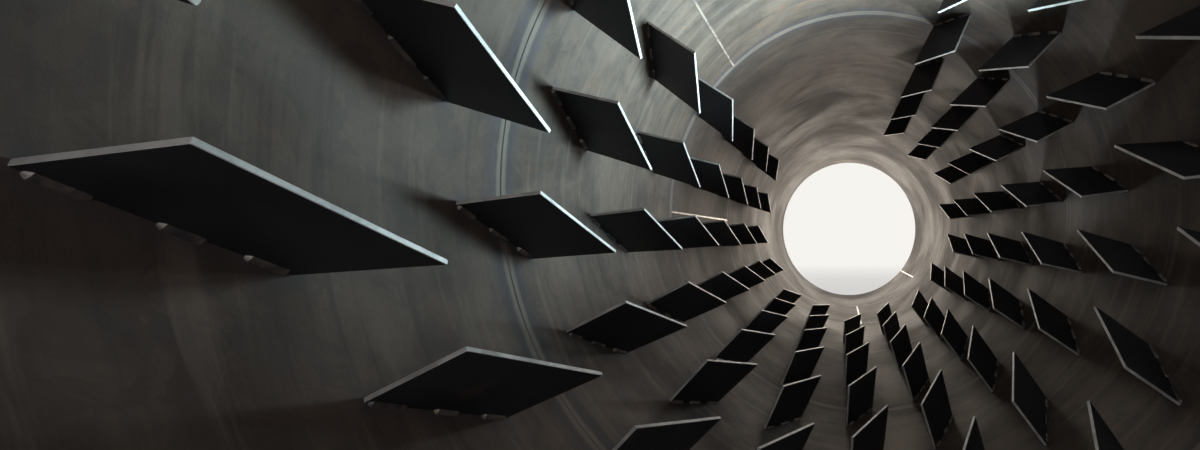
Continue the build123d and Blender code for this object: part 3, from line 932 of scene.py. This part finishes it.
def fillet(mesh, path, size, rng, closed=False):
    """Rippled bead along (point, wall, floor) places, in the corner of wall and floor."""
    rings = []
    for index, (point, wall, floor) in enumerate(path):
        end = 0.5 if not closed and index in (0, len(path) - 1) else 1.0
        leg = size * end * (1.0 + 0.08 * (index % 2) + rng.uniform(-0.04, 0.04))
        rings.append([point - (wall + floor) * WELD_SUNK,
                      point + floor * leg * 1.05 - wall * WELD_SUNK,
                      point + floor * leg * 0.8 + wall * leg * 0.42,
                      point + floor * leg * 0.42 + wall * leg * 0.8,
                      point + wall * leg * 1.05 - floor * WELD_SUNK])
    mesh.loft(rings, closed)


def straight_fillet(mesh, start, stop, wall, floor, size, rng, step=FILLET_STEP):
    count = max(3, ceil((stop - start).length / step))
    fillet(mesh, [(start.lerp(stop, k / count), wall, floor) for k in range(count + 1)], size, rng)


def add_thread(mesh, place, axis, radius, length):
    """The end of a stud: ridges, then a chamfer."""
    profile = [(radius, 0.0)]
    ridge = THREAD_PITCH / 2
    while ridge < length - THREAD_END:
        profile.append((radius - (THREAD_DEPTH if len(profile) % 2 else 0.0), ridge))
        ridge += THREAD_PITCH / 2
    profile += [(radius, length - THREAD_END), (radius - THREAD_END, length)]
    mesh.lathe(place, axis, profile, 24)


def add_fastener(mesh, place, axis, size, turn, reach=0.0):
    """Bolt head on a washer, or a nut with the stud's end reaching out of it."""
    radius, thickness, edge = size * 0.92, size * 0.18, WASHER_EDGE
    mesh.lathe(place, axis, [(radius - edge, 0), (radius, edge), (radius, thickness - edge),
                             (radius - edge, thickness)], 32)
    mesh.hexagon(place + axis * thickness, axis, size * 1.5, size * (0.85 if reach else 0.63), turn)
    if reach:
        add_thread(mesh, place + axis * (thickness + size * 0.84), axis, size * 0.48, reach)


def add_foot_fillets(mesh, angle, half_width, low_y, high_y, rng):
    """Two fillets along the drum, beside a block that stands on the shell."""
    out, round_dir = spoke(angle)
    radius = sqrt(SHELL_OUTER ** 2 - half_width ** 2)
    for side in (1, -1):
        foot = AXIS + out * radius + round_dir * (side * half_width)
        start = foot + ALONG * (low_y + 0.002)
        stop = foot + ALONG * (high_y - 0.002)
        straight_fillet(mesh, start, stop, out, round_dir * side, FILLET, rng)


def make_drum_welds():
    """Fillets of the end rings, the ring pads, the gear's stools and its mounting plates."""
    rng = random.Random(11)
    mesh = Mesh()
    for y, inward in ((INLET_Y + END_RING_THICKNESS, ALONG), (OUTLET_Y - END_RING_THICKNESS, -ALONG)):
        path = [(drum_point(SHELL_OUTER, angle, y), spoke(angle)[0], inward)
                for angle in circle(END_RING_FILLET_STEPS)]
        fillet(mesh, path, THIN_FILLET, rng, closed=True)
    for end in ENDS:
        low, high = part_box(f"ring_pads_{end}")
        for angle in circle(PAD_COUNT):
            add_foot_fillets(mesh, angle, PAD_WIDTH / 2, low.y, high.y, rng)
    for angle in circle(PLATE_COUNT):
        out, round_dir = spoke(angle)
        for low_y, high_y in ((PLATES_LOW.y, GEAR_LOW.y), (GEAR_HIGH.y, PLATES_HIGH.y)):
            add_foot_fillets(mesh, angle, PLATE_WIDTH / 2, low_y, high_y, rng)
        for side in (1, -1):
            corner = AXIS + out * PLATE_OUTER + round_dir * (side * PLATE_WIDTH / 2)
            for near in (GEAR_LOW.y, GEAR_HIGH.y - GEAR_FLANGE_THICKNESS):
                start = corner + ALONG * (near + 0.003)
                stop = corner + ALONG * (near + GEAR_FLANGE_THICKNESS - 0.003)
                straight_fillet(mesh, start, stop, -out, round_dir * side, FILLET, rng, FINE_STEP)
    make_piece("drum_welds", mesh, [WELD], "drum")


def make_plate_bolts():
    """Bolt, washer and nut in each hole of the mounting plates."""
    rng = random.Random(5)
    mesh = Mesh()
    inner = PLATE_OUTER - PLATE_THICKNESS - STOOL_TOP
    for angle in circle(PLATE_COUNT):
        out, round_dir = spoke(angle)
        for side, y in product((1, -1), (PLATES_LOW.y + PLATE_HOLE_EDGE, PLATES_HIGH.y - PLATE_HOLE_EDGE)):
            foot = AXIS + ALONG * y + round_dir * (side * (PLATE_WIDTH / 2 - PLATE_HOLE_EDGE))
            add_fastener(mesh, foot + out * PLATE_OUTER, out, PLATE_BOLT, rng.uniform(0, 1))
            add_fastener(mesh, foot + out * inner, -out, PLATE_BOLT, rng.uniform(0, 1), PLATE_BOLT_REACH)
    make_piece("gear_plate_bolts", mesh, [ZINC], "drum", sharp=25)


# Roller stations

def make_bearing_details(end, side, rng):
    """Seal covers, studs, bolts, grease nipples, and the gaskets between caps and bases."""
    low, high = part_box(f"bearing_housings_{end}_{side}")
    place = joint_places[f"roller_spin_{end}_{side}"]
    covers = Mesh()
    bolts = Mesh()
    for sign in (1, -1):
        middle = place + ALONG * (sign * ((high.y - low.y) / 2 - HOUSING_WIDTH / 2))
        for axis in (ALONG, -ALONG):
            root = middle + axis * (HOUSING_WIDTH / 2)
            covers.lathe(root, axis, COVER_PROFILE, 64, looped=True)
            for angle in circle(COVER_SCREW_COUNT, pi / COVER_SCREW_COUNT):
                spot = root + Vector((sin(angle), 0, cos(angle))) * COVER_SCREW_RADIUS + axis * COVER_FACE
                bolts.hexagon(spot, axis, *COVER_SCREW, rng.uniform(0, 1))
        for x in (1, -1):
            ear = middle + ACROSS * (x * HOUSING_EAR_X)
            covers.block(ear - ACROSS * (x * GASKET_INSET), GASKET_SIZE, ACROSS, 0.0003, 1)
            for y in (CAP_STUD_Y, -CAP_STUD_Y):
                stud = ear + ALONG * y
                half = UP * HOUSING_EAR_HEIGHT / 2
                add_fastener(bolts, stud + half, UP, CAP_STUD, rng.uniform(0, 1), CAP_STUD_REACH)
                bolts.hexagon(stud - half, -UP, *CAP_STUD_HEAD, rng.uniform(0, 1))
            foot = Vector((middle.x + x * FOOT_BOLT_X, middle.y, low.z + FOOT_HEIGHT))
            add_fastener(bolts, foot, UP, FOOT_BOLT, rng.uniform(0, 1))
        top = middle + UP * HOUSING_RADIUS
        bolts.hexagon(top - UP * 0.002, UP, *NIPPLE_BASE)
        bolts.lathe(top + UP * 0.006, UP, NIPPLE_PROFILE, 20)
    make_piece(f"bearing_covers_{end}_{side}", covers, [HOUSING_PAINT, GASKET], "base", sharp=28)
    make_piece(f"bearing_bolts_{end}_{side}", bolts, [ZINC], "base", sharp=25)


def make_frame_details(end, rng):
    """Anchor nuts on the feet, and the welds of the stiffeners and the ties."""
    low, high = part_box(f"base_frame_{end}")
    roller_x = abs(joint_places[f"roller_spin_{end}_left"].x)
    rise = UP * (BEAM_HEIGHT - 2 * (BEAM_FLANGE + WELD_MARGIN))
    bolts = Mesh()
    welds = Mesh()
    for sign in (1, -1):
        beam_y = (low.y + high.y) / 2 + sign * ((high.y - low.y) / 2 - BEAM_WIDTH / 2)
        for x in (1, -1):
            anchor = Vector((x * (high.x - ANCHOR_EDGE), beam_y, FOOT_PLATE))
            bolts.block(anchor + UP * ANCHOR_WASHER[2] / 2, ANCHOR_WASHER, ACROSS, 0.001)
            add_fastener(bolts, anchor + UP * ANCHOR_WASHER[2], UP, ANCHOR, rng.uniform(0, 1), ANCHOR_REACH)
            for stiffener, web, face in product((1, -1), repeat=3):
                edge_x = x * roller_x + stiffener * STIFFENER_X + face * STIFFENER / 2
                corner = Vector((edge_x, beam_y + web * BEAM_WEB / 2, BEAM_FLANGE + WELD_MARGIN))
                straight_fillet(welds, corner, corner + rise, ALONG * web, ACROSS * face, THIN_FILLET, rng,
                                FRAME_STEP)
        for tie in (-1, 0, 1):
            add_tie_weld(welds, tie * (-low.x - TIE_INSET), beam_y - sign * BEAM_WEB / 2, -sign, rng)
    make_piece(f"anchor_nuts_{end}", bolts, [ZINC], "base", sharp=25)
    make_piece(f"frame_welds_{end}", welds, [FRAME_PAINT], "base")


def add_tie_weld(mesh, x, y, facing, rng):
    """Fillet round a tie's square end, on the web of a beam."""
    middle = Vector((x, y, BEAM_HEIGHT / 2))
    corners = [(ACROSS * right + UP * up) * (TIE_WIDTH / 2) for right, up in SQUARE]
    for start, stop in zip(corners, corners[1:] + corners[:1]):
        out = (start + stop).normalized()
        straight_fillet(mesh, middle + start, middle + stop, ALONG * facing, out, FILLET, rng, FRAME_STEP)


make_shell()
make_seam_beads()
make_flights()

for end in ENDS:
    make_ring(f"riding_tyre_{end}", f"riding_ring_{end}", *RIDING_RING)
    make_ring(f"mouth_ring_{end}", f"end_ring_{end}", *END_RING, ROLLED_PLATE)
    finish_node(f"ring_pads_{end}", PLATE_STEEL, 0.002)
    finish_node(f"base_frame_{end}", FRAME_PAINT, 0.002)
    for side in SIDES:
        make_roller(end, side)
        finish_node(f"bearing_housings_{end}_{side}", HOUSING_PAINT, 0.004)
make_gear()
finish_node("gear_mounting_plates", PLATE_STEEL, 0.0015)
finish_node("gear_plate_stools", PLATE_STEEL, 0.0015)
make_drum_welds()
make_plate_bolts()
rng = random.Random(3)
for end in ENDS:
    make_frame_details(end, rng)
    for side in SIDES:
        make_bearing_details(end, side, rng)


# Stage: a pale floor, soft lamps and the camera

def make_floor():
    """A pale floor that fades into the background far from the drum."""
    mesh = bpy.data.meshes.new("floor")
    mesh.from_pydata([(x * FLOOR_REACH, y * FLOOR_REACH, 0) for x, y in SQUARE], [], [(0, 1, 2, 3)])
    floor = add_object("floor", mesh)
    s = Shader("floor", 0.0, 0.75, (0.8, 0.785, 0.76))
    mesh.materials.append(s.finish())
    distance = s.node("ShaderNodeVectorMath", {0: s.place}, operation="LENGTH").outputs["Value"]
    fade = s.times(s.ramp(distance, *FLOOR_FADE), s.seen_directly())
    s.show(fade, s.surface, s.node("ShaderNodeEmission", {"Color": BACKGROUND}), "Material Output")


def make_world():
    """Even light all round, with a pale background wherever it's seen."""
    world = bpy.data.worlds.new("studio")
    bpy.context.scene.world = world
    world.use_nodes = True
    sky = Nodes(world.node_tree)
    light = world.node_tree.nodes["Background"]
    sky.feed(SKY_COLOUR, light.inputs["Color"])
    sky.feed(SKY_STRENGTH, light.inputs["Strength"])
    seen = sky.node("ShaderNodeBackground", {"Color": BACKGROUND})
    sky.show(sky.seen_directly(), light, seen, "World Output")


def make_lamps():
    """Lamps on both sides and inside the drum, which the camera doesn't see."""
    for name, place, target, size, power, colour, spread in LAMPS:
        data = bpy.data.lights.new(name, "AREA")
        data.size = size
        data.energy = power
        data.color = colour
        data.spread = radians(spread)
        lamp = add_object(name, data)
        lamp.location = place
        lamp.rotation_euler = (Vector(target) - Vector(place)).to_track_quat("-Z", "Y").to_euler()
        lamp.visible_camera = False


def make_camera():
    """Looks along the drum, shifted so that the vanishing point falls where the photo has it."""
    data = bpy.data.cameras.new("camera")
    data.sensor_width = SENSOR_WIDTH
    data.lens = FOCAL_PIXELS / PHOTO_WIDTH * SENSOR_WIDTH
    data.shift_x = (PHOTO_WIDTH / 2 - VANISHING_POINT[0]) / PHOTO_WIDTH
    data.shift_y = (VANISHING_POINT[1] - PHOTO_HEIGHT / 2) / PHOTO_WIDTH
    data.clip_start = 0.01
    camera = add_object("camera", data)
    camera.location = CAMERA_PLACE
    camera.rotation_euler = (pi / 2, 0, 0)
    bpy.context.scene.camera = camera


make_floor()
make_world()
make_lamps()
make_camera()
bpy.context.scene.view_settings.view_transform = "Standard"
